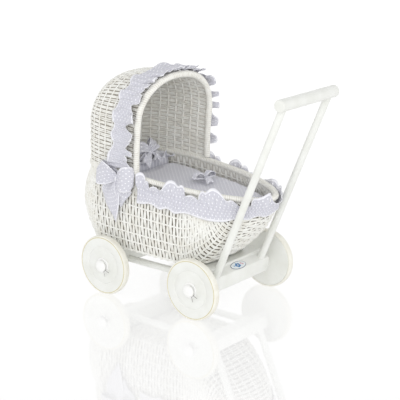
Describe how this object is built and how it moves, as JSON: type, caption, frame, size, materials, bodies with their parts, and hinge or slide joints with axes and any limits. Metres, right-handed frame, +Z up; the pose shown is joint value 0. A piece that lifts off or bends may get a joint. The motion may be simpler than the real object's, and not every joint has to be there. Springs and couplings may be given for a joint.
{
  "type": "doll stroller",
  "caption": "Wicker doll pram with a hooded woven tub, frilled dotted bedding, dowel push handle and rubber-tyred wooden wheels.",
  "frame": {"origin": "on the ground, under the middle of the pram's bounding box", "axes": "+X to the head end under the hood, +Y to the left, +Z up"},
  "size_m": [0.6482, 0.3426, 0.5732],
  "materials": {
    "painted_wood": "white satin paint",
    "painted_wicker": "white painted willow",
    "cream_rubber": "matt cream rubber",
    "white_plastic": "moulded, glossy",
    "steel": "zinc plated",
    "dotted_cotton": "printed cotton with small dots",
    "white_cotton": "plain cotton",
    "printed_label": "printed and lacquered"
  },
  "bodies": {
    "pram": {"rear_beam": "painted_wood", "front_beam": "painted_wood", "handle_grip": "painted_wood", "label_plate": "printed_label", "handle_post_left": "painted_wood", "handle_post_right": "painted_wood", "rail_left": "painted_wood", "rail_right": "painted_wood", "front_axle": "steel", "rear_axle": "steel", "axle_spacer_front_left": "white_plastic", "hub_cap_front_left": "white_plastic", "axle_clip_front_left": "steel", "axle_spacer_front_right": "white_plastic", "hub_cap_front_right": "white_plastic", "axle_clip_front_right": "steel", "axle_spacer_rear_left": "white_plastic", "hub_cap_rear_left": "white_plastic", "axle_clip_rear_left": "steel", "axle_spacer_rear_right": "white_plastic", "hub_cap_rear_right": "white_plastic", "axle_clip_rear_right": "steel", "tub_wall": "painted_wicker", "tub_floor": "painted_wicker", "tub_rim": "painted_wicker", "tub_screw_front_left": "steel", "tub_screw_front_right": "steel", "tub_screw_rear_left": "steel", "tub_screw_rear_right": "steel", "hood_shell": "painted_wicker", "hood_roll": "painted_wicker", "hood_frill": "dotted_cotton", "tub_frill": "dotted_cotton", "side_bow_left": "dotted_cotton", "side_bow_right": "dotted_cotton", "duvet": "dotted_cotton", "pillow": "dotted_cotton", "duvet_bow": "dotted_cotton", "mattress": "white_cotton"},
    "wheel_front_left": {"wheel_disc_front_left": "painted_wood", "tyre_front_left": "cream_rubber", "wheel_bush_front_left": "white_plastic"},
    "wheel_front_right": {"wheel_disc_front_right": "painted_wood", "tyre_front_right": "cream_rubber", "wheel_bush_front_right": "white_plastic"},
    "wheel_rear_left": {"wheel_disc_rear_left": "painted_wood", "tyre_rear_left": "cream_rubber", "wheel_bush_rear_left": "white_plastic"},
    "wheel_rear_right": {"wheel_disc_rear_right": "painted_wood", "tyre_rear_right": "cream_rubber", "wheel_bush_rear_right": "white_plastic"}
  },
  "joints": [
    {"name": "wheel_front_left_spin", "type": "hinge", "parent": "pram", "child": "wheel_front_left", "pos_m": [0.17996, 0, 0.075], "axis": [0, 1, 0], "continuous": true},
    {"name": "wheel_front_right_spin", "type": "hinge", "parent": "pram", "child": "wheel_front_right", "pos_m": [0.17996, 0, 0.075], "axis": [0, 1, 0], "continuous": true},
    {"name": "wheel_rear_left_spin", "type": "hinge", "parent": "pram", "child": "wheel_rear_left", "pos_m": [-0.09954, 0, 0.075], "axis": [0, 1, 0], "continuous": true},
    {"name": "wheel_rear_right_spin", "type": "hinge", "parent": "pram", "child": "wheel_rear_right", "pos_m": [-0.09954, 0, 0.075], "axis": [0, 1, 0], "continuous": true}
  ]
}
